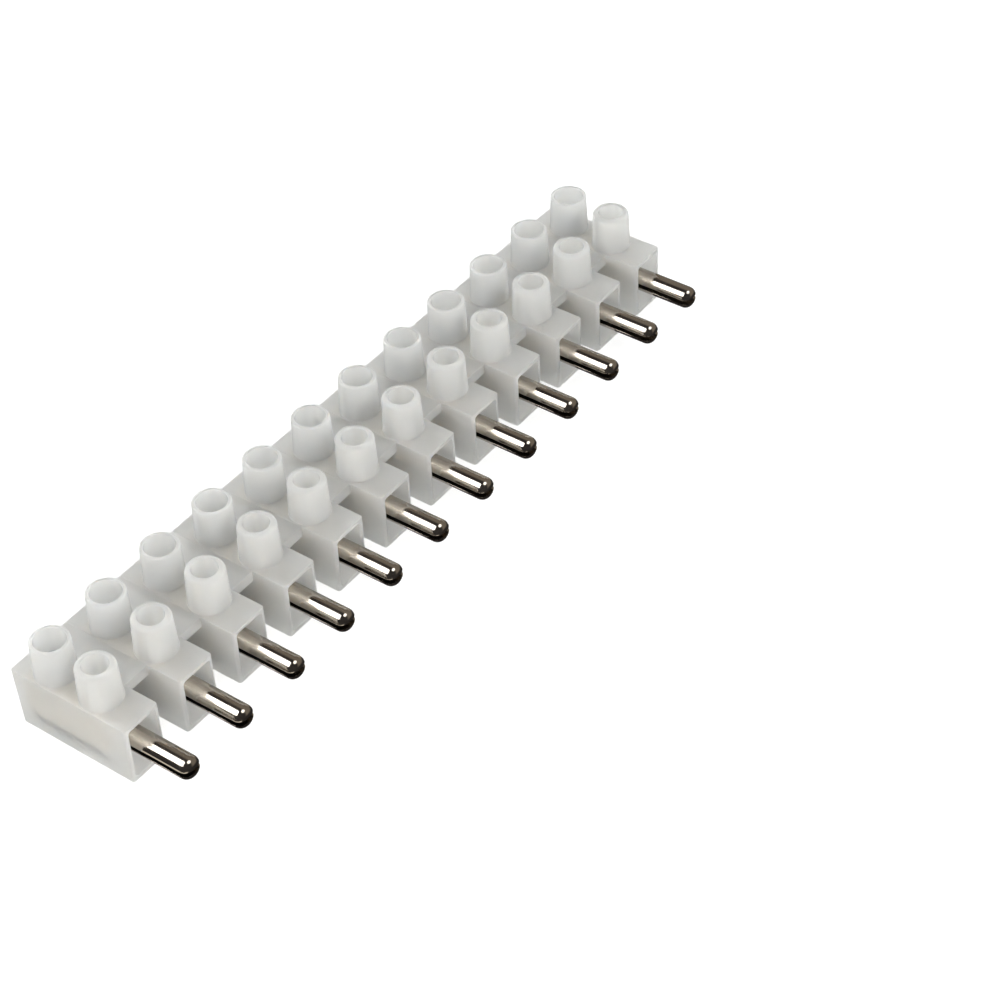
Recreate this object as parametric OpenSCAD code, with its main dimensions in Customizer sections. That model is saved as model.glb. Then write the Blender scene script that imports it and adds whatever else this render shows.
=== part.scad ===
// Twelve-way pluggable terminal strip, plug half.
// One moulded housing holds a row of brass contacts. Each contact takes a
// slotted plug pin at the front and a wire at the rear, and a screw in each
// of the two towers above it clamps them.
// +X runs along the row, the pins point to -Y, the strip stands on z = 0.

/* [Row] */
// Number of poles in the row
ways = 12; // [2:1:12]
// Distance from one pole to the next
pitch = 10; // [9:0.1:13]

/* [Blocks] */
// Width of one block
block_w = 6; // [5.9:0.1:8]
// Depth of the blocks, front to rear
block_d = 19; // [18:0.1:26]
// Height of the blocks
block_h = 8.9; // [8.6:0.1:12]
// How far the rear face leans in towards the base
rear_lean = 0.4; // [0:0.05:0.8]
// Radius of the upright corners of the row
corner_r = 0.4; // [0.2:0.05:0.8]
// Height of the contact axis over the base
axis_z = 4.45; // [4.2:0.05:5]

/* [Web between the blocks] */
// Depth of the open slots between the blocks, from the front
slot_d = 5.4; // [3:0.1:9]
// Thickness of the web plate
web_t = 1.6; // [1:0.1:3]
// How far the web lies under the block tops
web_drop = 0.05; // [0.05:0.05:0.5]

/* [Front mouths] */
// Wall round each front mouth
mouth_wall = 0.6; // [0.5:0.05:0.9]
// Depth of each front mouth
mouth_d = 4.2; // [3:0.1:4.8]
// Corner radius of each front mouth
mouth_r = 0.4; // [0.2:0.05:0.8]

/* [Rear entries] */
// Wall left behind each contact
rear_wall = 1.6; // [1.2:0.1:2.4]
// Radius of the wire hole
entry_r = 1.95; // [1.95:0.05:2.1]
// Radius of the funnel at the rear face
funnel_r = 2.5; // [2.2:0.05:2.8]
// Depth of the funnel
funnel_d = 1; // [0.4:0.1:1.1]

/* [Underside] */
// Depth of the core pocket under each block
core_d = 1.1; // [0.4:0.1:1.3]
// Wall round the core pocket
core_wall = 0.9; // [0.7:0.05:1.2]

/* [Towers] */
// Height of the towers over the blocks
tower_h = 5.6; // [4:0.1:8]
// Distance of the pin screw from the front face
front_tower_y = 6.45; // [6.2:0.05:7]
// Distance of the wire screw from the front face
rear_tower_y = 13.95; // [13:0.05:14.4]
// Radius of the towers at the rim
tower_top_r = 2.62; // [2.5:0.01:2.7]
// Radius of the towers at the foot
tower_foot_r = 2.82; // [2.7:0.01:2.88]
// Radius of the blend at the foot
foot_blend = 0.14; // [0.05:0.01:0.3]
// Bore of the front towers, radius
front_bore_r = 1.75; // [1.6:0.01:1.9]
// Bore of the rear towers, radius
rear_bore_r = 2.1; // [1.85:0.01:2.2]
// Rounding of the front rims
front_rim_r = 0.55; // [0.1:0.05:0.6]
// Rounding of the rear rims
rear_rim_r = 0.25; // [0.1:0.05:0.3]

/* [Contacts] */
// Width of a contact
contact_w = 4.6; // [4.3:0.05:4.7]
// Contact metal under its axis
contact_low = 2.3; // [2.1:0.05:2.5]
// Contact metal over its axis
contact_up = 3.1; // [2.8:0.05:3.3]
// Edge break along the contact
contact_edge = 0.35; // [0.1:0.05:0.5]
// Radius of the wire bore
wire_r = 1.75; // [1.65:0.01:1.8]
// Depth of the pin bore, from the front of the contact
pin_bore_d = 6; // [5.5:0.1:6.5]

/* [Plug pins] */
// Radius of a plug pin
pin_r = 1.6; // [1.5:0.01:1.75]
// Radius of the shank that sits in the contact
shank_r = 1.4; // [1.3:0.01:1.42]
// How far the pins stand out of the front face
pin_reach = 7.9; // [6:0.1:11]
// Length of the shank
shank_l = 5.2; // [4.5:0.1:5.4]
// Rounding of the pin tip
pin_tip_r = 1.15; // [0.3:0.05:1.3]
// Edge break at the inner end
pin_end_c = 0.25; // [0.1:0.05:0.4]
// Width of the slit
slit_w = 0.7; // [0.4:0.05:0.8]
// Length left solid between the slit and the shoulder
slit_stop = 3; // [2:0.1:5]

/* [Screws] */
// Radius of the pin screws
pin_screw_r = 1.5; // [1.3:0.01:1.6]
// Length of the pin screws
pin_screw_l = 4; // [3:0.1:5]
// Radius of the wire screws
wire_screw_r = 1.75; // [1.6:0.01:1.8]
// Length of the wire screws
wire_screw_l = 5; // [4:0.1:6]
// Radius of the point of the wire screws
point_r = 1.1; // [0.8:0.05:1.15]
// Length of the point of the wire screws
point_l = 1.4; // [1.4:0.1:2]
// Edge break of the screws
screw_c = 0.3; // [0.1:0.05:0.4]
// Width of the driver slots
driver_w = 0.6; // [0.4:0.05:0.8]
// Depth of the driver slots
driver_d = 1; // [0.6:0.1:1.2]

/* [Fits] */
// Play of a contact in its channel
contact_play = 0.1; // [0.05:0.05:0.3]
// Radial play of a pin in its bore
pin_play = 0.05; // [0.02:0.01:0.1]
// Radial play of a screw in its thread
thread_play = 0.05; // [0.02:0.01:0.1]
// Gap between a tight pin screw and its pin
pinch_gap = 0.03; // [0.01:0.01:0.1]
// Gap between a wire screw at rest and the wire bore
rest_gap = 0.08; // [0.05:0.01:0.3]

/* [Hidden] */
$fn = 48;
eps = 0.01;
// The whole strip, pins included, is centred front to rear
front_y = (pin_reach - block_d) / 2;
contact_l = block_d - mouth_d - rear_wall;
channel_w = contact_w + 2 * contact_play;
channel_top = axis_z + contact_up + contact_play;
pin_shoulder = pin_reach + mouth_d;
shank_top = axis_z + shank_r;
// Turns the seam of the round pin away from its slit
pin_seam = 50;
rim_z = block_h + tower_h;
pin_screw_z = shank_top + pinch_gap;
wire_screw_z = axis_z + wire_r + rest_gap;
web_top = block_h - web_drop;

// Middle of pole i along the row
function pole_x(i) = (i - (ways + 1) / 2) * pitch;

// Rear face of the housing at height z, measured from the front face
function rear_at(z) = block_d - rear_lean * (1 - z / block_h);

// Arc of n steps round a centre, from angle a to angle b
function arc(cx, cy, r, a, b, n = 4) =
    [for (k = [0:n]) let (t = a + (b - a) * k / n) [cx + r * cos(t), cy + r * sin(t)]];

// Outline of a rectangle with rounded corners, centred in x, from y0 to y1
function round_box(w, y0, y1, r) = concat(
    arc(w / 2 - r, y1 - r, r, 0, 90, 3), arc(r - w / 2, y1 - r, r, 90, 180, 3),
    arc(r - w / 2, y0 + r, r, 180, 270, 3), arc(w / 2 - r, y0 + r, r, 270, 360, 3)
);

// Places children on pole i, with y = 0 on the front face
module at_pole(i) { translate([pole_x(i), front_y, 0]) children(); }

// Sweeps a (y, z) outline along X, centred
module along_x(w) { rotate([90, 0, 90]) linear_extrude(height = w, center = true) children(); }

// Sweeps an (x, z) outline along +Y, from y0 to y1
module along_y(y0, y1) {
    translate([0, y1, 0]) rotate([90, 0, 0]) linear_extrude(height = y1 - y0) children();
}

// One box block, upright corners rounded, rear face leaning in
module block() {
    intersection() {
        linear_extrude(height = block_h) polygon(round_box(block_w, 0, block_d, corner_r));
        along_x(block_w + 1)
            polygon([[-1, -1], [rear_at(-1), -1], [rear_at(block_h + 1), block_h + 1], [-1, block_h + 1]]);
    }
}

// The plate that joins the blocks behind the slots
module web() {
    z0 = web_top - web_t;
    rotate([90, 0, 90]) linear_extrude(height = (ways - 1) * pitch, center = true)
        polygon([[slot_d, z0], [rear_at(z0), z0], [rear_at(web_top), web_top], [slot_d, web_top]]);
}

// A screw tower: drafted tube with a rounded rim and a blended foot
module tower(rim_r) {
    blend = min(foot_blend, block_w / 2 - tower_foot_r - 0.02);
    rotate_extrude() polygon(concat(
        [[0, -0.5], [tower_foot_r, -0.5], [tower_foot_r + blend, 0]],
        arc(tower_foot_r + blend, blend, blend, 270, 180, 2),
        arc(tower_top_r - rim_r, tower_h - rim_r, rim_r, 0, 90, 4),
        [[0, tower_h]]
    ));
}

// The front mouth, the contact channel behind it, the wire entry and the core pocket
module pole_hollows() {
    along_y(-1, mouth_d) polygon(round_box(block_w - 2 * mouth_wall, mouth_wall, block_h - mouth_wall, mouth_r));
    translate([-channel_w / 2, mouth_d - eps, axis_z - contact_low])
        cube([channel_w, contact_l + eps, channel_top - axis_z + contact_low]);
    translate([0, block_d + 1, axis_z]) rotate([90, 0, 0]) cylinder(r = entry_r, h = rear_wall + 1.5);
    translate([0, rear_at(axis_z) + 0.5, axis_z]) rotate([90, 0, 0])
        cylinder(r1 = funnel_r + 0.5 * (funnel_r - entry_r) / funnel_d, r2 = entry_r, h = funnel_d + 0.5);
    translate([core_wall - block_w / 2, mouth_d + core_wall, -1])
        cube([block_w - 2 * core_wall, rear_at(0) - mouth_d - 2 * core_wall, core_d + 1]);
    translate([0, front_tower_y, channel_top - 1]) cylinder(r = front_bore_r, h = rim_z);
    translate([0, rear_tower_y, channel_top - 1]) cylinder(r = rear_bore_r, h = rim_z);
}

module housing() {
    color([0.85, 0.86, 0.84]) difference() {
        union() {
            for (i = [1:ways]) at_pole(i) {
                block();
                translate([0, front_tower_y, block_h]) tower(front_rim_r);
                translate([0, rear_tower_y, block_h]) tower(rear_rim_r);
            }
            translate([0, front_y, 0]) web();
        }
        for (i = [1:ways]) at_pole(i) pole_hollows();
    }
}

// Brass bar, bored from both ends and tapped from above
module contact(i) {
    c = contact_edge;
    x = contact_w / 2;
    color([0.80, 0.66, 0.36]) at_pole(i) difference() {
        along_y(mouth_d, mouth_d + contact_l) translate([0, axis_z]) polygon([
            [c - x, -contact_low], [x - c, -contact_low], [x, c - contact_low], [x, contact_up - c],
            [x - c, contact_up], [c - x, contact_up], [-x, contact_up - c], [-x, c - contact_low]
        ]);
        translate([0, mouth_d + pin_bore_d + eps, axis_z]) rotate([90, 0, 0])
            cylinder(r = shank_r + pin_play, h = pin_bore_d + 1);
        translate([0, block_d, axis_z]) rotate([90, 0, 0])
            cylinder(r = wire_r, h = block_d - mouth_d - pin_bore_d);
        translate([0, front_tower_y, axis_z]) cylinder(r = pin_screw_r + thread_play, h = contact_up + 1);
        translate([0, rear_tower_y, axis_z]) cylinder(r = wire_screw_r + thread_play, h = contact_up + 1);
    }
}

// Turned pin: rounded tip, slit across its width, shoulder against the contact
module plug_pin(i) {
    end = pin_shoulder + shank_l;
    color([0.78, 0.77, 0.74]) at_pole(i) translate([0, -pin_reach, axis_z]) difference() {
        rotate([-90, 0, 0]) rotate([0, 0, pin_seam]) rotate_extrude() polygon(concat(
            [[0, 0]],
            arc(pin_r - pin_tip_r, pin_tip_r, pin_tip_r, 270, 360, 5),
            [[pin_r, pin_shoulder], [shank_r, pin_shoulder], [shank_r, end - pin_end_c],
             [shank_r - pin_end_c, end], [0, end]]
        ));
        translate([-pin_r - 1, -1, -slit_w / 2])
            cube([2 * pin_r + 2, pin_shoulder - slit_stop + 1, slit_w]);
    }
}

// Headless screw with a driver slot and an optional point, standing on z = 0
module grub_screw(r, l, tip_r = 0, tip_l = 0) {
    tip = tip_l > 0 ? [[0, 0], [tip_r, 0], [tip_r, tip_l]] : [[0, 0]];
    difference() {
        rotate_extrude() polygon(concat(tip, [
            [r - screw_c, tip_l], [r, tip_l + screw_c], [r, l - screw_c], [r - screw_c, l], [0, l]
        ]));
        translate([-r - 1, -driver_w / 2, l - driver_d]) cube([2 * r + 2, driver_w, driver_d + 1]);
    }
}

// Screwed down on its pin
module pin_screw(i) {
    color([0.66, 0.66, 0.64]) at_pole(i) translate([0, front_tower_y, pin_screw_z])
        rotate([0, 0, 35 + 70 * i]) grub_screw(pin_screw_r, pin_screw_l);
}

// Backed out, clear of the wire bore
module wire_screw(i) {
    color([0.60, 0.60, 0.58]) at_pole(i) translate([0, rear_tower_y, wire_screw_z])
        rotate([0, 0, 20 + 110 * i]) grub_screw(wire_screw_r, wire_screw_l, point_r, point_l);
}

housing();
for (i = [1:ways]) {
    contact(i);
    plug_pin(i);
    pin_screw(i);
    wire_screw(i);
}
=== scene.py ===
"""Studio picture of a pluggable terminal strip, plug half, with twelve poles.

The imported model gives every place. Lengths in this file are millimetres, as in
the part's own drawing, and each finished mesh is brought to metres at the end.
"""

import math
from collections import namedtuple

import bmesh
import bpy
from mathutils import Matrix, Vector


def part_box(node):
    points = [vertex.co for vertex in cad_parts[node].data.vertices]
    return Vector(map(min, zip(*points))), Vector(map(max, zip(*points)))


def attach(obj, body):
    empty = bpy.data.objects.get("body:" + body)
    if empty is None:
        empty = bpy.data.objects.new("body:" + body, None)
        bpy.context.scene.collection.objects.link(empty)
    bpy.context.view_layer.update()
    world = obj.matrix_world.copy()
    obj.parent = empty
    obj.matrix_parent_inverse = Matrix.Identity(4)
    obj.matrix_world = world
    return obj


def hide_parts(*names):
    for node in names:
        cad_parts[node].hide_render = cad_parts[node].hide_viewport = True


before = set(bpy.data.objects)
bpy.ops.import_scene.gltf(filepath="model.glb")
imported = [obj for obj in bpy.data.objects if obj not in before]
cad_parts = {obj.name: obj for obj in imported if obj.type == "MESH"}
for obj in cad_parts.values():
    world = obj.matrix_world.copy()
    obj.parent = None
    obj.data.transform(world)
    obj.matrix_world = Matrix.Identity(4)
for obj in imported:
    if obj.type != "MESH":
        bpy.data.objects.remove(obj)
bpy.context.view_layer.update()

# ------------------------------------------------------------------ sizes, mm

MM = 0.001


def box_mm(node):
    """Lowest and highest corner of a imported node, in millimetres."""
    low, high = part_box(node)
    return low / MM, high / MM


POLES = sum(name.startswith("plug_pin_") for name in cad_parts)
HOUSING_LOW, HOUSING_HIGH = box_mm("housing")
PIN_LOW, PIN_HIGH = box_mm("plug_pin_1")
CONTACT_LOW, CONTACT_HIGH = box_mm("contact_1")

FRONT_Y = HOUSING_LOW.y
RIM_Z = HOUSING_HIGH.z
BLOCK_D = HOUSING_HIGH.y - HOUSING_LOW.y
FIRST_X = (PIN_LOW.x + PIN_HIGH.x) / 2
PITCH = -2 * FIRST_X / (POLES - 1)
AXIS_Z = (PIN_LOW.z + PIN_HIGH.z) / 2
FIRST_POLE = Vector((FIRST_X, FRONT_Y, 0))

# Moulding. The places run from the front face of a block.
BLOCK_W = 6.0
BLOCK_H = 8.9
REAR_LEAN = 0.4
CORNER_R = 0.4
EDGE_R = 0.06
SLOT_D = 5.4
WEB_T = 1.6
WEB_DROP = 0.05
WEB_SET_BACK = 0.02
MOUTH_WALL = 0.6
MOUTH_D = CONTACT_LOW.y - FRONT_Y
MOUTH_R = 0.4
LIP_R = 0.1
CONTACT_PLAY = 0.1
ENTRY_R = 1.95
FUNNEL_R = 2.5
FUNNEL_D = 1.0
CORE_D = 1.1
CORE_WALL = 0.9

# Towers, front and rear
TOWER_H = RIM_Z - BLOCK_H
TOWER_TOP_R = 2.62
TOWER_FOOT_R = 2.82
FOOT_BLEND = 0.14
BORE_FOOT_Z = AXIS_Z + 2.2

# A tower's place from the front face, its bore's radius, and the roundings of its rim,
# outside and inside
Tower = namedtuple("Tower", "y bore rim lip")
FRONT_TOWER = Tower(y=6.45, bore=1.75, rim=0.55, lip=0.12)
REAR_TOWER = Tower(y=13.95, bore=2.1, rim=0.25, lip=0.1)

# Pins
PIN_R = (PIN_HIGH.x - PIN_LOW.x) / 2
PIN_REACH = FRONT_Y - PIN_LOW.y
PIN_TIP_R = 1.15
SHANK_R = 1.4
SHANK_CHAMFER = 0.25
SLIT_W = 0.7
SLIT_STOP = 3.0

# Screws. The driver slot of each stands at its own angle, in degrees, from one pole to the next.
Screw = namedtuple("Screw", "radius lead point_r point_l turn step")
PIN_SCREW = Screw(radius=1.5, lead=0.5, point_r=0.0, point_l=0.0, turn=35, step=70)
WIRE_SCREW = Screw(radius=1.75, lead=0.6, point_r=1.1, point_l=1.4, turn=20, step=110)
THREAD_D = 0.16
THREAD_RUN_IN = 0.3
THREAD_RUN_OUT = 0.45
POINT_CHAMFER = 0.2
FOOT_CHAMFER = 0.25
HEAD_D = 0.3
HEAD_STEP = 0.3
HEAD_CHAMFER = 0.12
DRIVER_W = 0.6
DRIVER_D = 1.0

# Sides of a turned solid, rounding of a metal edge, and how far a solid runs into its
# neighbour or a cutter runs past a face
ROUND = 64
SCREW_ROUND = 40
METAL_BREAK = 0.05
SINK = 0.5
PAST = 1.0

# Table, in metres
TABLE_HALF = 3.0
TABLE_GAP = 0.00005


# ------------------------------------------------------- wiring of node trees


class Wiring:
    """Adds nodes to one tree, with plain values or other sockets as inputs."""

    def __init__(self, tree):
        self.tree = tree

    def add(self, kind, inputs=None, **settings):
        node = self.tree.nodes.new(kind)
        for name, value in settings.items():
            setattr(node, name, value)
        for name, value in (inputs or {}).items():
            self.feed(node.inputs[name], value)
        return node

    def feed(self, socket, value):
        if isinstance(value, bpy.types.NodeSocket):
            self.tree.links.new(value, socket)
        else:
            socket.default_value = value

    def math(self, operation, *values):
        node = self.add("ShaderNodeMath", operation=operation)
        for socket, value in zip(node.inputs, values):
            self.feed(socket, value)
        return node.outputs["Value"]

    def vector(self, operation, *values):
        node = self.add("ShaderNodeVectorMath", operation=operation)
        for socket, value in zip(node.inputs, values):
            self.feed(socket, value)
        return node.outputs["Value" if operation in ("LENGTH", "DOT_PRODUCT") else "Vector"]

    def tint(self, share, first, second):
        """The first colour, turned to the second by a share."""
        node = self.add("ShaderNodeMix", data_type="RGBA")
        for name, value in (("Factor_Float", share), ("A_Color", first), ("B_Color", second)):
            self.feed(next(s for s in node.inputs if s.identifier == name), value)
        return next(s for s in node.outputs if s.identifier == "Result_Color")

    def ramp(self, value, start, end, low, high):
        """A value's smooth step from start to end, as low to high."""
        node = self.add(
            "ShaderNodeMapRange",
            {"Value": value, "From Min": start, "From Max": end, "To Min": low, "To Max": high},
            interpolation_type="SMOOTHSTEP",
        )
        return node.outputs["Result"]


def new_tree(kind, name, inputs, outputs):
    """A node tree with named sockets, and its wiring, inputs and output node."""
    tree = bpy.data.node_groups.new(name, kind)
    for label, (socket, value) in inputs.items():
        made = tree.interface.new_socket(label, in_out="INPUT", socket_type=socket)
        if value is not None:
            made.default_value = value
    for label, socket in outputs.items():
        tree.interface.new_socket(label, in_out="OUTPUT", socket_type=socket)
    wiring = Wiring(tree)
    return tree, wiring, wiring.add("NodeGroupInput").outputs, wiring.add("NodeGroupOutput").inputs


# ------------------------------------------------------------ shared finishes


def breakup_group():
    """Fine grain and broad patches, as moulding and plating both show."""
    tree, w, given, result = new_tree(
        "ShaderNodeTree",
        "surface_breakup",
        {
            "Vector": ("NodeSocketVector", None),
            "Grain": ("NodeSocketFloat", 4000.0),
            "Patches": ("NodeSocketFloat", 250.0),
            "Stretch": ("NodeSocketVector", (1.0, 1.0, 1.0)),
        },
        {"Grain": "NodeSocketFloat", "Patches": "NodeSocketFloat"},
    )
    along = w.vector("MULTIPLY", given["Vector"], given["Stretch"])
    grain = w.add("ShaderNodeTexNoise", {"Vector": along, "Scale": given["Grain"], "Detail": 3.0})
    broad = w.add(
        "ShaderNodeTexNoise", {"Vector": given["Vector"], "Scale": given["Patches"], "Detail": 2.0}
    )
    w.feed(result["Grain"], grain.outputs["Fac"])
    w.feed(result["Patches"], broad.outputs["Fac"])
    return tree


def see_through_shade_group():
    """Share of painted see-through shade: how much of the metal behind a translucent wall is
    painted into the wall's colour, by its distance.
    """
    tree, w, given, result = new_tree(
        "ShaderNodeTree",
        "metal_behind_wall",
        {
            "Vector": ("NodeSocketVector", None),
            "First pole": ("NodeSocketVector", (0.0, 0.0, 0.0)),
            "Pitch": ("NodeSocketFloat", 0.01),
            "Centre": ("NodeSocketVector", (0.0, 0.0, 0.0)),
            "Half size": ("NodeSocketVector", (0.001, 0.001, 0.001)),
            "Clear": ("NodeSocketFloat", 0.002),
        },
        {"Share": "NodeSocketFloat"},
    )
    place = w.vector("SUBTRACT", given["Vector"], given["First pole"])
    parts = w.add("ShaderNodeSeparateXYZ", {"Vector": place}).outputs
    half = w.math("MULTIPLY", given["Pitch"], 0.5)
    across = w.math("WRAP", parts["X"], half, w.math("MULTIPLY", half, -1.0))
    local = w.add("ShaderNodeCombineXYZ", {"X": across, "Y": parts["Y"], "Z": parts["Z"]})
    off = w.vector("ABSOLUTE", w.vector("SUBTRACT", local.outputs[0], given["Centre"]))
    outside = w.vector("MAXIMUM", w.vector("SUBTRACT", off, given["Half size"]), (0, 0, 0))
    w.feed(result["Share"], w.ramp(w.vector("LENGTH", outside), 0.0, given["Clear"], 1.0, 0.0))
    return tree


def start_material(name):
    """A material with its wiring, its Object coordinates and its shader's inputs."""
    material = bpy.data.materials.new(name)
    material.use_nodes = True
    material.node_tree.nodes.clear()
    w = Wiring(material.node_tree)
    place = w.add("ShaderNodeTexCoord").outputs["Object"]
    shader = w.add("ShaderNodeBsdfPrincipled")
    w.add("ShaderNodeOutputMaterial", {"Surface": shader.outputs["BSDF"]})
    return material, w, place, shader.inputs


def milky_nylon(breakup, see_through_shade):
    """Uncoloured moulded nylon: milky, with painted see-through shade in its colour where the metal
    inside sits behind the wall.
    """
    material, w, place, shader = start_material("milky_nylon")
    surface = w.add("ShaderNodeGroup", node_tree=breakup)
    w.feed(surface.inputs["Vector"], place)
    surface.inputs["Grain"].default_value = 5200.0
    surface.inputs["Patches"].default_value = 160.0

    def share(low, high, clear):
        """Share of painted shade from the metal between two corners, which run from the first pole,
        in mm.
        """
        node = w.add("ShaderNodeGroup", node_tree=see_through_shade)
        w.feed(node.inputs["Vector"], place)
        node.inputs["First pole"].default_value = FIRST_POLE * MM
        node.inputs["Pitch"].default_value = PITCH * MM
        node.inputs["Centre"].default_value = (Vector(low) + Vector(high)) / 2 * MM
        node.inputs["Half size"].default_value = (Vector(high) - Vector(low)) / 2 * MM
        node.inputs["Clear"].default_value = clear * MM
        return node.outputs["Share"]

    # Painted see-through shade: the base colour is darkened and tinted where the brass contact and
    # the zinc screws sit behind the wall.
    contact = share(CONTACT_LOW - FIRST_POLE, CONTACT_HIGH - FIRST_POLE, 1.6)
    screw_low, screw_high = box_mm("wire_screw_1")
    zinc_shade_share = share(screw_low - FIRST_POLE, screw_high - FIRST_POLE, 1.7)
    brass_shade_weight, zinc_shade_weight = 0.10, 0.12
    painted_brass_shade, painted_zinc_shade = (0.42, 0.36, 0.29, 1), (0.30, 0.33, 0.36, 1)

    # The milk's own tone varies at random; the warm brass and slate zinc tones laid over it are
    # painted shade.
    milk = w.tint(surface.outputs["Patches"], (0.965, 0.965, 0.95, 1), (0.98, 0.98, 0.968, 1))
    warm = w.tint(w.math("MULTIPLY", contact, brass_shade_weight), milk, painted_brass_shade)
    tone = w.tint(w.math("MULTIPLY", zinc_shade_share, zinc_shade_weight), warm, painted_zinc_shade)
    w.feed(shader["Base Color"], tone)
    w.feed(shader["Roughness"], w.ramp(surface.outputs["Patches"], 0.3, 0.7, 0.66, 0.74))
    bump = w.add(
        "ShaderNodeBump",
        {"Height": surface.outputs["Grain"], "Strength": 0.12, "Distance": 0.00002},
    )
    w.feed(shader["Normal"], bump.outputs["Normal"])
    shader["IOR"].default_value = 1.5
    shader["Subsurface Weight"].default_value = 1.0
    shader["Subsurface Radius"].default_value = (1.0, 0.95, 0.88)
    shader["Subsurface Scale"].default_value = 0.0025
    shader["Transmission Weight"].default_value = 0.85
    shader["Sheen Weight"].default_value = 0.6
    shader["Sheen Roughness"].default_value = 0.35
    return material


def metal(name, breakup, colour, worn, roughness, grain, patches, stretch, relief):
    """A bare or plated metal: two tones in patches, and fine machining marks."""
    material, w, place, shader = start_material(name)
    surface = w.add("ShaderNodeGroup", node_tree=breakup)
    w.feed(surface.inputs["Vector"], place)
    surface.inputs["Grain"].default_value = grain
    surface.inputs["Patches"].default_value = patches
    surface.inputs["Stretch"].default_value = stretch
    w.feed(shader["Base Color"], w.tint(surface.outputs["Patches"], colour, worn))
    w.feed(shader["Roughness"], w.ramp(surface.outputs["Patches"], 0.25, 0.75, *roughness))
    bump = w.add(
        "ShaderNodeBump",
        {"Height": surface.outputs["Grain"], "Strength": relief, "Distance": 0.00001},
    )
    w.feed(shader["Normal"], bump.outputs["Normal"])
    shader["Metallic"].default_value = 1.0
    return material


# ------------------------------------------------------------- solids, in mm


def as_piece(name, bm):
    """A new object with the shape's mesh, faces outwards."""
    bmesh.ops.recalc_face_normals(bm, faces=bm.faces)
    mesh = bpy.data.meshes.new(name)
    bm.to_mesh(mesh)
    bm.free()
    piece = bpy.data.objects.new(name, mesh)
    bpy.context.scene.collection.objects.link(piece)
    return piece


def loft(name, rings):
    """A closed solid through a stack of outlines that have the same number of points."""
    bm = bmesh.new()
    stack = [[bm.verts.new(point) for point in ring] for ring in rings]
    bm.faces.new(stack[0])
    bm.faces.new(stack[-1])
    for near, far in zip(stack, stack[1:]):
        for k in range(len(near)):
            bm.faces.new((near[k - 1], near[k], far[k], far[k - 1]))
    return as_piece(name, bm)


def cuboid(name, low, high):
    """A box between two corners."""
    ring = [(low[0], low[1]), (high[0], low[1]), (high[0], high[1]), (low[0], high[1])]
    return loft(name, [[(x, y, z) for x, y in ring] for z in (low[2], high[2])])


def turned(name, profile, place=Matrix(), sides=ROUND):
    """A closed solid of revolution, from (radius, height) points up its own Z."""
    angles = [2 * math.pi * k / sides for k in range(sides)]
    return loft(
        name,
        [
            [place @ Vector((r * math.cos(a), r * math.sin(a), z)) for a in angles]
            for r, z in profile
        ],
    )


def arc(centre, radius, start, end, steps=6):
    """Points on an arc, with the angles in degrees."""
    turns = [math.radians(start + (end - start) * k / steps) for k in range(steps + 1)]
    return [(centre[0] + radius * math.cos(t), centre[1] + radius * math.sin(t)) for t in turns]


def rounded_outline(low, high, radius):
    """A rectangle between two corners, with rounded corners."""
    (x0, y0), (x1, y1), r = low, high, radius
    return (
        arc((x1 - r, y1 - r), r, 0, 90)
        + arc((x0 + r, y1 - r), r, 90, 180)
        + arc((x0 + r, y0 + r), r, 180, 270)
        + arc((x1 - r, y0 + r), r, 270, 360)
    )


def settle(piece):
    """Makes what the modifiers give the piece's own plain mesh."""
    graph = bpy.context.evaluated_depsgraph_get()
    piece.data = bpy.data.meshes.new_from_object(piece.evaluated_get(graph), depsgraph=graph)
    piece.modifiers.clear()
    return piece


def combine(piece, operation, others):
    """Adds solids to a piece or cuts them out of it, and uses them up."""
    for other in others:
        step = piece.modifiers.new(other.name, "BOOLEAN")
        step.operation = operation
        step.object = other
        step.solver = "EXACT"
    settle(piece)
    for other in others:
        bpy.data.objects.remove(other)
    return piece


def break_edges(piece, width):
    """Rounds every sharp edge a little."""
    bevel = piece.modifiers.new("edge_break", "BEVEL")
    bevel.limit_method = "ANGLE"
    bevel.angle_limit = math.radians(40)
    bevel.width = width
    bevel.segments = 2
    bevel.use_clamp_overlap = False
    return settle(piece)


def finish_mesh(piece):
    """Brings a millimetre mesh to metres and shades it smooth between true edges."""
    piece.data.transform(Matrix.Scale(MM, 4))
    piece.data.shade_smooth()
    piece.data.set_sharp_from_angle(angle=math.radians(42))
    normals = piece.modifiers.new("flat_faces_first", "WEIGHTED_NORMAL")
    normals.keep_sharp = True
    return settle(piece)


# ------------------------------------------------------------- repeated rows


def row_tree():
    """Repeats one pole's mesh along the row."""
    tree, w, given, result = new_tree(
        "GeometryNodeTree",
        "row_of_poles",
        {
            "Pole": ("NodeSocketGeometry", None),
            "Count": ("NodeSocketInt", 12),
            "Pitch": ("NodeSocketFloat", 10.0),
            "First pole": ("NodeSocketVector", (0.0, 0.0, 0.0)),
            "Finish": ("NodeSocketMaterial", None),
        },
        {"Row": "NodeSocketGeometry"},
    )
    step = w.add("ShaderNodeCombineXYZ", {"X": given["Pitch"]})
    places = w.add(
        "GeometryNodeMeshLine",
        {"Count": given["Count"], "Start Location": given["First pole"], "Offset": step.outputs[0]},
    )
    poles = w.add(
        "GeometryNodeInstanceOnPoints",
        {"Points": places.outputs["Mesh"], "Instance": given["Pole"]},
    )
    real = w.add("GeometryNodeRealizeInstances", {"Geometry": poles.outputs["Instances"]})
    dressed = w.add(
        "GeometryNodeSetMaterial", {"Geometry": real.outputs[0], "Material": given["Finish"]}
    )
    w.feed(result["Row"], dressed.outputs["Geometry"])
    return tree


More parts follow.
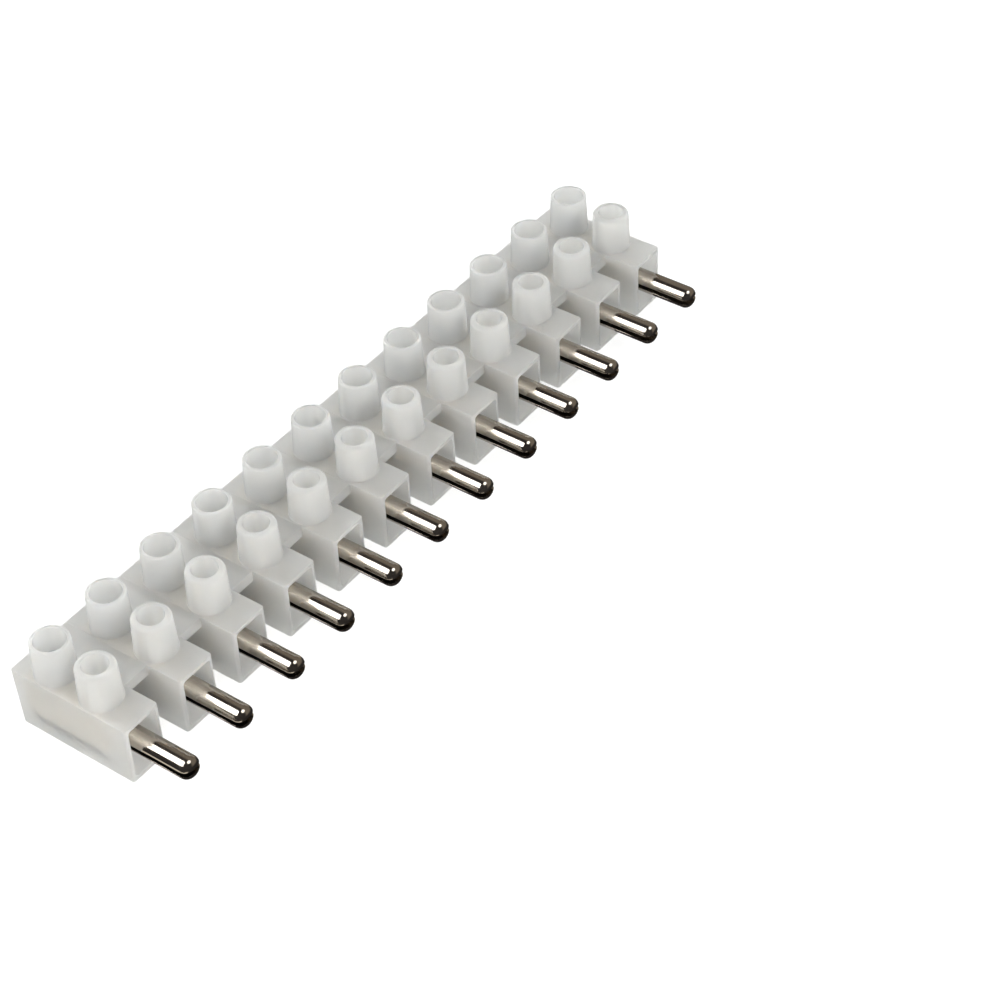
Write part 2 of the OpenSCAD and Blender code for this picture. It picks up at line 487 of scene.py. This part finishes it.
def thread_tree():
    """Winds a thread on a turned blank, saws the driver slot and sets the screw in place."""
    tree, w, given, result = new_tree(
        "GeometryNodeTree",
        "threaded_screw",
        {
            "Blank": ("NodeSocketGeometry", None),
            "Radius": ("NodeSocketFloat", 1.5),
            "Thread depth": ("NodeSocketFloat", 0.16),
            "Lead": ("NodeSocketFloat", 0.5),
            "Thread start": ("NodeSocketFloat", 0.4),
            "Thread length": ("NodeSocketFloat", 3.0),
            "Slot width": ("NodeSocketFloat", 0.6),
            "Slot depth": ("NodeSocketFloat", 1.0),
            "Height": ("NodeSocketFloat", 4.0),
            "Turn": ("NodeSocketFloat", 0.0),
            "Place": ("NodeSocketVector", (0.0, 0.0, 0.0)),
            "Finish": ("NodeSocketMaterial", None),
        },
        {"Screw": "NodeSocketGeometry"},
    )
    root = w.math("SUBTRACT", given["Radius"], given["Thread depth"])
    path = w.add(
        "GeometryNodeCurveSpiral",
        {
            "Resolution": 32,
            "Rotations": w.math("DIVIDE", given["Thread length"], given["Lead"]),
            "Start Radius": root,
            "End Radius": root,
            "Height": given["Thread length"],
        },
    )
    upright = w.add("GeometryNodeSetCurveNormal", {"Curve": path.outputs["Curve"]}, mode="Z_UP")
    ridge = w.add(
        "GeometryNodeCurvePrimitiveCircle",
        {"Resolution": 4, "Radius": given["Thread depth"]},
    )
    wound = w.add(
        "GeometryNodeCurveToMesh",
        {"Curve": upright.outputs[0], "Profile Curve": ridge.outputs["Curve"], "Fill Caps": True},
    )
    lift = w.add("ShaderNodeCombineXYZ", {"Z": given["Thread start"]})
    raised = w.add(
        "GeometryNodeTransform", {"Geometry": wound.outputs["Mesh"], "Translation": lift.outputs[0]}
    )
    whole = w.add("GeometryNodeJoinGeometry")
    for part in (raised.outputs["Geometry"], given["Blank"]):
        w.feed(whole.inputs["Geometry"], part)
    saw_size = w.add(
        "ShaderNodeCombineXYZ",
        {
            "X": w.math("MULTIPLY", given["Radius"], 3.0),
            "Y": given["Slot width"],
            "Z": w.math("MULTIPLY", given["Slot depth"], 2.0),
        },
    )
    saw = w.add("GeometryNodeMeshCube", {"Size": saw_size.outputs[0]})
    saw_place = w.add("ShaderNodeCombineXYZ", {"Z": given["Height"]})
    saw_down = w.add(
        "GeometryNodeTransform",
        {"Geometry": saw.outputs["Mesh"], "Translation": saw_place.outputs[0]},
    )
    slotted = w.add(
        "GeometryNodeMeshBoolean",
        {"Self Intersection": True},
        operation="DIFFERENCE",
        solver="EXACT",
    )
    w.feed(slotted.inputs["Mesh 1"], whole.outputs["Geometry"])
    w.feed(slotted.inputs["Mesh 2"], saw_down.outputs["Geometry"])
    turn = w.add("ShaderNodeCombineXYZ", {"Z": given["Turn"]})
    placed = w.add(
        "GeometryNodeTransform",
        {
            "Geometry": slotted.outputs["Mesh"],
            "Translation": given["Place"],
            "Rotation": turn.outputs[0],
        },
    )
    real = w.add("GeometryNodeRealizeInstances", {"Geometry": placed.outputs["Geometry"]})
    dressed = w.add(
        "GeometryNodeSetMaterial", {"Geometry": real.outputs[0], "Material": given["Finish"]}
    )
    w.feed(result["Screw"], dressed.outputs["Geometry"])
    return tree


def grow(piece, tree, **values):
    """Runs a geometry tree on a piece, with its inputs given by name."""
    step = piece.modifiers.new(tree.name, "NODES")
    step.node_group = tree
    for item in tree.interface.items_tree:
        if item.in_out == "INPUT" and item.name.lower().replace(" ", "_") in values:
            step[item.identifier] = values[item.name.lower().replace(" ", "_")]
    return settle(piece)


# ------------------------------------------------------------------- housing


def rear_at(z):
    """The rear face leans in towards the base."""
    return BLOCK_D - REAR_LEAN * (1 - z / BLOCK_H)


def tower(name, size):
    """A drafted tower with a rounded rim and a blended foot."""
    blend = (TOWER_FOOT_R + FOOT_BLEND, FOOT_BLEND)
    profile = (
        [(TOWER_FOOT_R, -SINK)]
        + arc(blend, FOOT_BLEND, 270, 180, 3)
        + arc((TOWER_TOP_R - size.rim, TOWER_H - size.rim), size.rim, 0, 90)
    )
    return turned(name, profile, Matrix.Translation((0, size.y, BLOCK_H)))


def tower_bore(name, size):
    """The hole down a tower to the contact, with its mouth eased."""
    eased = arc((size.bore + size.lip, RIM_Z - size.lip), size.lip, 180, 90, 3)
    profile = [(size.bore, BORE_FOOT_Z)] + eased + [(eased[-1][0], RIM_Z + PAST)]
    return turned(name, profile, Matrix.Translation((0, size.y, 0)))


def mouth_ring(y, widened):
    """The mouth's outline at one depth, widened by its rounded lip."""
    wall = MOUTH_WALL - widened
    outline = rounded_outline(
        (wall - BLOCK_W / 2, wall), (BLOCK_W / 2 - wall, BLOCK_H - wall), MOUTH_R + widened
    )
    return [(x, y, z) for x, z in outline]


def hollows():
    """All that is cut from one pole of the moulding."""
    eased = [(LIP_R - a, LIP_R - b) for a, b in arc((0, 0), LIP_R, 0, 90, 4)]
    depths = [(-PAST, LIP_R)] + eased + [(MOUTH_D, 0)]
    side_play = Vector((CONTACT_PLAY, 0, 0))
    top_play = Vector((0, 0, CONTACT_PLAY))
    into_mouth = Vector((0, 0.01, 0))
    along_y = Matrix.Translation((0, 0, AXIS_Z)) @ Matrix.Rotation(math.radians(-90), 4, "X")
    rear = rear_at(AXIS_Z)
    flare = FUNNEL_R - ENTRY_R
    entry = [(ENTRY_R, CONTACT_HIGH.y - FRONT_Y - SINK), (ENTRY_R, rear + PAST)]
    funnel = [(ENTRY_R, rear - FUNNEL_D), (FUNNEL_R + flare, rear + FUNNEL_D)]
    return [
        loft("mouth", [mouth_ring(y, widened) for y, widened in depths]),
        cuboid(
            "channel",
            CONTACT_LOW - FIRST_POLE - side_play - into_mouth,
            CONTACT_HIGH - FIRST_POLE + side_play + top_play,
        ),
        turned("wire_entry", entry, along_y),
        turned("funnel", funnel, along_y),
        cuboid(
            "core_pocket",
            (CORE_WALL - BLOCK_W / 2, MOUTH_D + CORE_WALL, -PAST),
            (BLOCK_W / 2 - CORE_WALL, rear_at(0) - CORE_WALL, CORE_D),
        ),
        tower_bore("front_bore", FRONT_TOWER),
        tower_bore("rear_bore", REAR_TOWER),
    ]


def block_ring(z, inset):
    """A block's outline at one height, drawn in by its rounded edges."""
    side = BLOCK_W / 2 - inset
    outline = rounded_outline((-side, inset), (side, BLOCK_D - inset), CORNER_R - inset)
    back = BLOCK_D - rear_at(z)
    return [(x, y - back if y > BLOCK_D / 2 else y, z) for x, y in outline]


def pole_of_housing(name, web_from, web_to):
    """One pole of the moulding with its share of the web, on its own axis."""
    eased = [(z, EDGE_R - inset) for inset, z in arc((0, 0), EDGE_R, 0, 90, 3)]
    base = [(EDGE_R - z, inset) for z, inset in reversed(eased)]
    head = [(BLOCK_H - EDGE_R + z, inset) for z, inset in eased]
    piece = loft(name, [block_ring(z, inset) for z, inset in base + head])
    top, low = BLOCK_H - WEB_DROP, BLOCK_H - WEB_DROP - WEB_T
    plate = [
        (SLOT_D, low),
        (rear_at(low) - WEB_SET_BACK, low),
        (rear_at(top) - WEB_SET_BACK, top),
    ]
    plate += arc((SLOT_D + EDGE_R, top - EDGE_R), EDGE_R, 90, 180, 3)
    web = loft("web", [[(x, y, z) for y, z in plate] for x in (web_from, web_to)])
    towers = [tower("front_tower", FRONT_TOWER), tower("rear_tower", REAR_TOWER)]
    combine(piece, "UNION", [web, *towers])
    return combine(piece, "DIFFERENCE", hollows())


def between_poles(face):
    """True for a face that lies halfway between two poles, where the webs meet."""
    shares = [(corner.co.x - FIRST_X) / PITCH % 1 for corner in face.verts]
    return all(abs(share - 0.5) < 0.001 for share in shares)


def housing(row, finish):
    """The whole moulding: two end poles and the poles between them, welded."""
    half = PITCH / 2
    weld = 0.002
    spans = {
        "housing": (0.0, half, 1, 0),
        "middle_poles": (-half, half, POLES - 2, 1),
        "last_pole": (-half, 0.0, 1, POLES - 1),
    }
    pieces = []
    for name, (web_from, web_to, count, start) in spans.items():
        piece = pole_of_housing(name, web_from, web_to)
        first = FIRST_POLE + Vector((PITCH * start, 0, 0))
        grow(piece, row, count=count, pitch=PITCH, first_pole=first, finish=finish)
        pieces.append(piece)
    bm = bmesh.new()
    for piece in pieces:
        bm.from_mesh(piece.data)
    inner = [face for face in bm.faces if between_poles(face)]
    bmesh.ops.delete(bm, geom=inner, context="FACES")
    bmesh.ops.remove_doubles(bm, verts=bm.verts, dist=weld)
    whole = pieces[0]
    bm.to_mesh(whole.data)
    bm.free()
    for piece in pieces[1:]:
        bpy.data.objects.remove(piece)
    whole.name = "moulded_housing"
    return finish_mesh(whole)


# ------------------------------------------------------------- pins and screws


def plug_pins(row, finish):
    """The row of turned pins: rounded tips, slit for spring, thinner shanks."""
    length = PIN_HIGH.y - PIN_LOW.y
    shoulder = PIN_REACH + MOUTH_D
    tip = arc((PIN_R - PIN_TIP_R, PIN_TIP_R), PIN_TIP_R, 270, 360, 8)
    shank = [
        (PIN_R, shoulder),
        (SHANK_R, shoulder),
        (SHANK_R, length - SHANK_CHAMFER),
        (SHANK_R - SHANK_CHAMFER, length),
    ]
    along_y = Matrix.Rotation(math.radians(-90), 4, "X")
    piece = turned("plug_pins", tip + shank, Matrix.Translation((0, -PIN_REACH, AXIS_Z)) @ along_y)
    saw = cuboid(
        "slit",
        (-PIN_R - PAST, -PIN_REACH - PAST, AXIS_Z - SLIT_W / 2),
        (PIN_R + PAST, MOUTH_D - SLIT_STOP, AXIS_Z + SLIT_W / 2),
    )
    combine(piece, "DIFFERENCE", [saw])
    break_edges(piece, METAL_BREAK)
    grow(piece, row, count=POLES, pitch=PITCH, first_pole=FIRST_POLE, finish=finish)
    return finish_mesh(piece)


def screw_blank(name, size, height):
    """A screw before its thread and slot: a point if it has one, a chamfered body and head."""
    root = size.radius - THREAD_D
    point = [
        (size.point_r - POINT_CHAMFER, 0),
        (size.point_r, POINT_CHAMFER),
        (size.point_r, size.point_l),
    ]
    body = [
        (root - POINT_CHAMFER, size.point_l),
        (root, size.point_l + FOOT_CHAMFER),
        (root, height - HEAD_D),
        (size.radius - HEAD_STEP, height - HEAD_CHAMFER),
        (size.radius - HEAD_STEP - HEAD_CHAMFER, height),
    ]
    return turned(name, point + body if size.point_l else body, sides=SCREW_ROUND)


def screw(node, number, tree, finish, size):
    """A headless slotted screw, threaded from its foot to just under its top."""
    low, high = box_mm(node)
    height = high.z - low.z
    piece = grow(
        screw_blank(node + "_threaded", size, height),
        tree,
        radius=size.radius,
        thread_depth=THREAD_D,
        lead=size.lead,
        thread_start=size.point_l + THREAD_RUN_IN,
        thread_length=height - size.point_l - THREAD_RUN_IN - THREAD_RUN_OUT,
        slot_width=DRIVER_W,
        slot_depth=DRIVER_D,
        height=height,
        turn=math.radians(size.turn + size.step * number),
        place=((low.x + high.x) / 2, (low.y + high.y) / 2, low.z),
        finish=finish,
    )
    return finish_mesh(piece)


# -------------------------------------------------------------------- studio


def mirrored_room(w, direction):
    """What the metal mirrors: a dark room with a brown wall, a pale ledge and a high window."""
    dark, brown = (0.055, 0.05, 0.05, 1), (0.36, 0.32, 0.275, 1)
    pale, bright = (1.8, 1.7, 1.55, 1), (5.0, 5.0, 5.0, 1)
    towards_window = Vector((0.20, -0.44, 0.87)).normalized()

    parts = w.add("ShaderNodeSeparateXYZ", {"Vector": direction}).outputs
    wall = w.math(
        "MULTIPLY",
        w.ramp(parts["X"], 0.15, 0.45, 0.0, 1.0),
        w.ramp(parts["Z"], -0.25, 0.05, 0.0, 1.0),
    )
    ledge_height = w.math(
        "MULTIPLY",
        w.ramp(parts["Z"], -0.40, -0.33, 0.0, 1.0),
        w.ramp(parts["Z"], -0.25, -0.18, 1.0, 0.0),
    )
    ledge = w.math("MULTIPLY", ledge_height, w.ramp(parts["X"], -0.3, -0.6, 0.0, 1.0))
    near_window = w.vector("DOT_PRODUCT", direction, towards_window)
    window = w.ramp(near_window, 0.95, 0.975, 0.0, 1.0)
    return w.tint(window, w.tint(ledge, w.tint(wall, dark, brown), pale), bright)


def studio_world():
    """Soft fill, mostly from below, a white surround, and the room in the metal."""
    world = bpy.data.worlds.new("studio")
    world.use_nodes = True
    world.node_tree.nodes.clear()
    bpy.context.scene.world = world
    w = Wiring(world.node_tree)
    direction = w.add("ShaderNodeTexCoord").outputs["Generated"]

    fill_mean, fill_swing = 2.05, 1.3
    fill_from = Vector((-0.15, -0.45, -0.88)).normalized()
    from_below = w.vector("DOT_PRODUCT", direction, fill_from)
    strength = w.math("MULTIPLY_ADD", from_below, fill_swing, fill_mean)
    fill = w.add("ShaderNodeBackground", {"Color": (0.985, 1.0, 0.985, 1), "Strength": strength})
    looks = (
        ("Is Glossy Ray", mirrored_room(w, direction), 1.0),
        ("Is Transmission Ray", (1.0, 0.985, 0.96, 1), 0.45),
        ("Is Camera Ray", (1.0, 1.0, 1.0, 1), 1.0),
    )
    ray = w.add("ShaderNodeLightPath").outputs
    seen = fill.outputs[0]
    for kind, colour, level in looks:
        look = w.add("ShaderNodeBackground", {"Color": colour, "Strength": level})
        chosen = w.add("ShaderNodeMixShader", {"Fac": ray[kind]})
        w.feed(chosen.inputs[1], seen)
        w.feed(chosen.inputs[2], look.outputs[0])
        seen = chosen.outputs[0]
    w.add("ShaderNodeOutputWorld", {"Surface": seen})


def soft_box(name, aim, towards, distance, width, depth, across, radiance, colour, mirrored):
    """A soft box that lights one point, with its width across a given direction.

    Either only the metal mirrors it, or it lights the plastic and the metal never shows it.
    """
    light = bpy.data.lights.new(name, "AREA")
    light.shape = "RECTANGLE"
    light.size, light.size_y = width, depth
    light.energy = radiance * math.pi * width * depth
    light.color = colour
    lamp = bpy.data.objects.new(name, light)
    bpy.context.scene.collection.objects.link(lamp)
    back = Vector(towards).normalized()
    side = Vector(across) - back * back.dot(Vector(across))
    side.normalize()
    turn = Matrix((side, back.cross(side), back)).transposed().to_4x4()
    lamp.matrix_world = Matrix.Translation(aim + back * distance) @ turn
    lamp.visible_camera = False
    lamp.visible_glossy = mirrored
    lamp.visible_diffuse = lamp.visible_transmission = not mirrored


def pale_table():
    """A pale sheet just under the base, which shows from above and not from below.

    A share of the light comes up through it where the base stands on it.
    """
    light_under_base, glow = 0.3, 0.62
    corners = [(-TABLE_HALF, -TABLE_HALF), (TABLE_HALF, -TABLE_HALF)]
    corners += [(TABLE_HALF, TABLE_HALF), (-TABLE_HALF, TABLE_HALF)]
    sheet = bpy.data.meshes.new("table")
    sheet.from_pydata([(x, y, -TABLE_GAP) for x, y in corners], [], [(0, 1, 2, 3)])
    floor = bpy.data.objects.new("table", sheet)
    bpy.context.scene.collection.objects.link(floor)

    material, w, place, shader = start_material("pale_table")
    mottle = w.add("ShaderNodeTexNoise", {"Vector": place, "Scale": 9.0}).outputs["Fac"]
    w.feed(shader["Base Color"], w.tint(mottle, (0.49, 0.49, 0.49, 1), (0.51, 0.51, 0.51, 1)))
    shader["Roughness"].default_value = 0.9
    shader["Specular IOR Level"].default_value = 0.0
    shader["Emission Color"].default_value = (1.0, 1.0, 1.0, 1)
    ray = w.add("ShaderNodeLightPath").outputs
    w.feed(shader["Emission Strength"], w.math("MULTIPLY", ray["Is Camera Ray"], glow))

    under_base = w.math("LESS_THAN", ray["Ray Length"], TABLE_GAP * 4)
    from_below = w.add("ShaderNodeNewGeometry").outputs["Backfacing"]
    clear = w.math("MAXIMUM", from_below, w.math("MULTIPLY", under_base, light_under_base))
    output = next(n for n in w.tree.nodes if n.type == "OUTPUT_MATERIAL").inputs["Surface"]
    seen = w.add("ShaderNodeMixShader", {"Fac": clear})
    w.feed(seen.inputs[1], output.links[0].from_socket)
    w.feed(seen.inputs[2], w.add("ShaderNodeBsdfTransparent").outputs[0])
    w.feed(output, seen.outputs[0])
    floor.data.materials.append(material)
    floor.visible_glossy = False


def camera():
    """Looks down on the left end, from the front."""
    place = Vector((-190.47, FRONT_Y - 162.0, 227.86)) * MM
    yaw, pitch, roll = (math.radians(angle) for angle in (52.03, 42.12, -2.96))
    ahead = Vector(
        (math.cos(pitch) * math.sin(yaw), math.cos(pitch) * math.cos(yaw), -math.sin(pitch))
    )
    level = Vector((math.cos(yaw), -math.sin(yaw), 0))
    above = level.cross(ahead)
    right = level * math.cos(roll) + above * math.sin(roll)
    up = above * math.cos(roll) - level * math.sin(roll)
    lens = bpy.data.cameras.new("view")
    lens.sensor_width = 36.0
    lens.lens = 90.0
    lens.clip_start = 0.01
    lens.clip_end = 20.0
    eye = bpy.data.objects.new("view", lens)
    bpy.context.scene.collection.objects.link(eye)
    turn = Matrix((right, up, -ahead)).transposed().to_4x4()
    eye.matrix_world = Matrix.Translation(place) @ turn
    bpy.context.scene.camera = eye


# ------------------------------------------------------------------- assembly

camera()
studio_world()
pale_table()
soft_box(
    "band_on_pins",
    aim=Vector((0, 0, 0)),
    towards=(-0.508, 0.457, 0.730),
    distance=0.8,
    width=0.55,
    depth=0.70,
    across=(0.825, 0, 0.565),
    radiance=8.0,
    colour=(1.0, 1.0, 1.0),
    mirrored=True,
)
soft_box(
    "warm_near_end",
    aim=Vector((FIRST_X, 0, 0)) * MM,
    towards=(-0.6, -0.78, 0.12),
    distance=0.15,
    width=0.30,
    depth=0.15,
    across=(0.8, -0.6, 0),
    radiance=2.8,
    colour=(1.0, 0.94, 0.86),
    mirrored=False,
)
bpy.context.scene.view_settings.view_transform = "Standard"

breakup = breakup_group()
nylon = milky_nylon(breakup, see_through_shade_group())
nickel = metal(
    "bright_nickel",
    breakup,
    colour=(0.33, 0.295, 0.25, 1),
    worn=(0.38, 0.345, 0.30, 1),
    roughness=(0.10, 0.16),
    grain=2600.0,
    patches=420.0,
    stretch=(1.0, 6.0, 1.0),
    relief=0.05,
)
brass = metal(
    "drawn_brass",
    breakup,
    colour=(0.62, 0.54, 0.42, 1),
    worn=(0.70, 0.63, 0.50, 1),
    roughness=(0.24, 0.36),
    grain=3000.0,
    patches=300.0,
    stretch=(1.0, 0.15, 1.0),
    relief=0.25,
)
zinc = metal(
    "zinc_plate",
    breakup,
    colour=(0.50, 0.52, 0.56, 1),
    worn=(0.62, 0.63, 0.65, 1),
    roughness=(0.22, 0.36),
    grain=3400.0,
    patches=500.0,
    stretch=(1.0, 1.0, 0.3),
    relief=0.25,
)

row = row_tree()
moulding = housing(row, nylon)
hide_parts("housing")
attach(moulding, "strip")

pins = plug_pins(row, nickel)
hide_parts(*[f"plug_pin_{i}" for i in range(1, POLES + 1)])
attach(pins, "strip")

thread = thread_tree()
for i in range(1, POLES + 1):
    for kind, size in (("pin_screw", PIN_SCREW), ("wire_screw", WIRE_SCREW)):
        node = f"{kind}_{i}"
        piece = screw(node, i, thread, zinc, size)
        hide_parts(node)
        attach(piece, node)
    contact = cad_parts[f"contact_{i}"].data.materials
    contact.clear()
    contact.append(brass)
